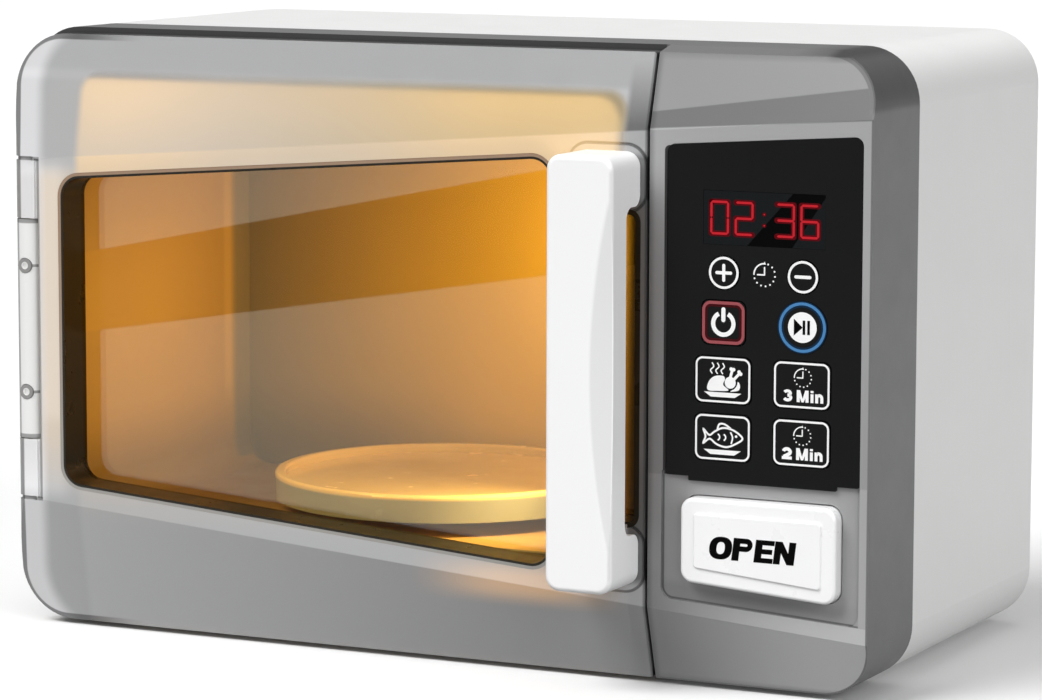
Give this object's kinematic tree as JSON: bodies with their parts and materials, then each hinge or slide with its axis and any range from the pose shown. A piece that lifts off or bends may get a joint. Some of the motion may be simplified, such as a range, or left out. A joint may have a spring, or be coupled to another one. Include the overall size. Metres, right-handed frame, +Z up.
{
  "type": "toy microwave oven",
  "caption": "Toy microwave oven with a side-hinged window door, bar handle, key panel with a sprung door button, lit cavity and geared turntable.",
  "frame": {"origin": "on the floor, at the middle of the whole oven, under the centre of its bounding box", "axes": "+X towards the key panel (the right side seen from the front), +Y from the door towards the back, +Z up"},
  "size_m": [0.26, 0.148, 0.1701],
  "materials": {
    "white_shell": "satin",
    "bezel_grey": "satin",
    "white_button": "satin",
    "smoke_shell": "satin translucent",
    "dark_frame": "gloss",
    "amber_pane": "clear",
    "gloss_black": "gloss",
    "smoke_lens": "clear",
    "black_plastic": "matte",
    "grey_plastic": "matte",
    "grey_rubber": "matte",
    "dark_rubber": "matte",
    "board_green": "satin",
    "steel": "satin",
    "brass": "satin",
    "zinc_can": "satin",
    "warm_liner": "satin",
    "frosted_lens": "frosted",
    "amber_lamp": "gloss",
    "cream_plate": "gloss",
    "cell_jacket": "gloss"
  },
  "bodies": {
    "case": {"rear_housing": "white_shell", "front_bezel": "bezel_grey", "rubber_feet": "dark_rubber", "case_screws": "steel", "speaker": "black_plastic", "control_fascia": "gloss_black", "display_lens": "smoke_lens", "display_module": "black_plastic", "control_board": "board_green", "board_screws": "steel", "keypad_mat": "grey_rubber", "open_spring": "steel", "latch_spring": "steel", "cavity_liner": "warm_liner", "lamp_lens": "frosted_lens", "lamp_housing": "black_plastic", "lamp_led": "amber_lamp", "hinge_block": "white_button", "hinge_pins": "steel", "hinge_screws": "steel", "idler_pin": "steel", "drive_motor": "zinc_can", "gearbox_base": "grey_plastic", "gearbox_cover": "grey_plastic", "battery_box": "black_plastic", "battery_cells": "cell_jacket", "battery_contacts": "steel", "battery_springs": "steel"},
    "door": {"door_shell": "smoke_shell", "window_frame": "dark_frame", "window_pane": "amber_pane", "door_catch": "grey_plastic", "catch_screw": "steel", "handle": "white_button", "handle_screws": "steel"},
    "open_key": {"open_button": "white_button"},
    "latch": {"latch_slide": "grey_plastic"},
    "hub": {"turntable_hub": "grey_plastic"},
    "plate": {"turntable_plate": "cream_plate"},
    "idler": {"compound_gear": "grey_plastic"},
    "pinion": {"motor_pinion": "brass"},
    "bay_cover": {"battery_cover": "white_shell", "battery_screw": "steel"},
    "plus_keycap": {"plus_key": "gloss_black"},
    "minus_keycap": {"minus_key": "gloss_black"},
    "power_keycap": {"power_key": "gloss_black"},
    "start_keycap": {"start_key": "gloss_black"},
    "roast_keycap": {"roast_key": "gloss_black"},
    "fish_keycap": {"fish_key": "gloss_black"},
    "three_minute_keycap": {"three_minute_key": "gloss_black"},
    "two_minute_keycap": {"two_minute_key": "gloss_black"}
  },
  "joints": [
    {"name": "door_hinge", "type": "hinge", "parent": "case", "child": "door", "pos_m": [-0.1259, -0.0519, 0.085], "axis": [0, 0, -1], "range_deg": [0, 110]},
    {"name": "open_press", "type": "slide", "parent": "case", "child": "open_key", "axis": [0, 1, 0], "range_m": [0, 0.003], "stiffness_N_per_m": 300, "springref_m": -0.002},
    {"name": "latch_draw", "type": "slide", "parent": "case", "child": "latch", "axis": [1, 0, 0], "range_m": [0, 0.003], "stiffness_N_per_m": 150, "springref_m": -0.002},
    {"name": "turntable_spin", "type": "hinge", "parent": "case", "child": "hub", "pos_m": [-0.0255, 0.00905, 0.0243], "axis": [0, 0, 1], "continuous": true},
    {"name": "idler_spin", "type": "hinge", "parent": "case", "child": "idler", "pos_m": [-0.0455, 0.00905, 0.0209], "axis": [0, 0, 1], "continuous": true},
    {"name": "pinion_spin", "type": "hinge", "parent": "case", "child": "pinion", "pos_m": [-0.0639, 0.00905, 0.0209], "axis": [0, 0, 1], "continuous": true},
    {"name": "plate_lift", "type": "slide", "parent": "hub", "child": "plate", "axis": [0, 0, 1], "range_m": [0, 0.012]},
    {"name": "bay_cover_off", "type": "slide", "parent": "case", "child": "bay_cover", "axis": [0, 1, 0], "range_m": [0, 0.012]},
    {"name": "plus_press", "type": "slide", "parent": "case", "child": "plus_keycap", "axis": [0, 1, 0], "range_m": [0, 0.0008], "stiffness_N_per_m": 900, "springref_m": -0.0006},
    {"name": "minus_press", "type": "slide", "parent": "case", "child": "minus_keycap", "axis": [0, 1, 0], "range_m": [0, 0.0008], "stiffness_N_per_m": 900, "springref_m": -0.0006},
    {"name": "power_press", "type": "slide", "parent": "case", "child": "power_keycap", "axis": [0, 1, 0], "range_m": [0, 0.0008], "stiffness_N_per_m": 900, "springref_m": -0.0006},
    {"name": "start_press", "type": "slide", "parent": "case", "child": "start_keycap", "axis": [0, 1, 0], "range_m": [0, 0.0008], "stiffness_N_per_m": 900, "springref_m": -0.0006},
    {"name": "roast_press", "type": "slide", "parent": "case", "child": "roast_keycap", "axis": [0, 1, 0], "range_m": [0, 0.0008], "stiffness_N_per_m": 900, "springref_m": -0.0006},
    {"name": "fish_press", "type": "slide", "parent": "case", "child": "fish_keycap", "axis": [0, 1, 0], "range_m": [0, 0.0008], "stiffness_N_per_m": 900, "springref_m": -0.0006},
    {"name": "three_minute_press", "type": "slide", "parent": "case", "child": "three_minute_keycap", "axis": [0, 1, 0], "range_m": [0, 0.0008], "stiffness_N_per_m": 900, "springref_m": -0.0006},
    {"name": "two_minute_press", "type": "slide", "parent": "case", "child": "two_minute_keycap", "axis": [0, 1, 0], "range_m": [0, 0.0008], "stiffness_N_per_m": 900, "springref_m": -0.0006}
  ],
  "couplings": [
    {"joint": "latch_draw", "follows": "open_press", "ratio": 1},
    {"joint": "idler_spin", "follows": "turntable_spin", "ratio": -4},
    {"joint": "pinion_spin", "follows": "turntable_spin", "ratio": 14.4}
  ]
}
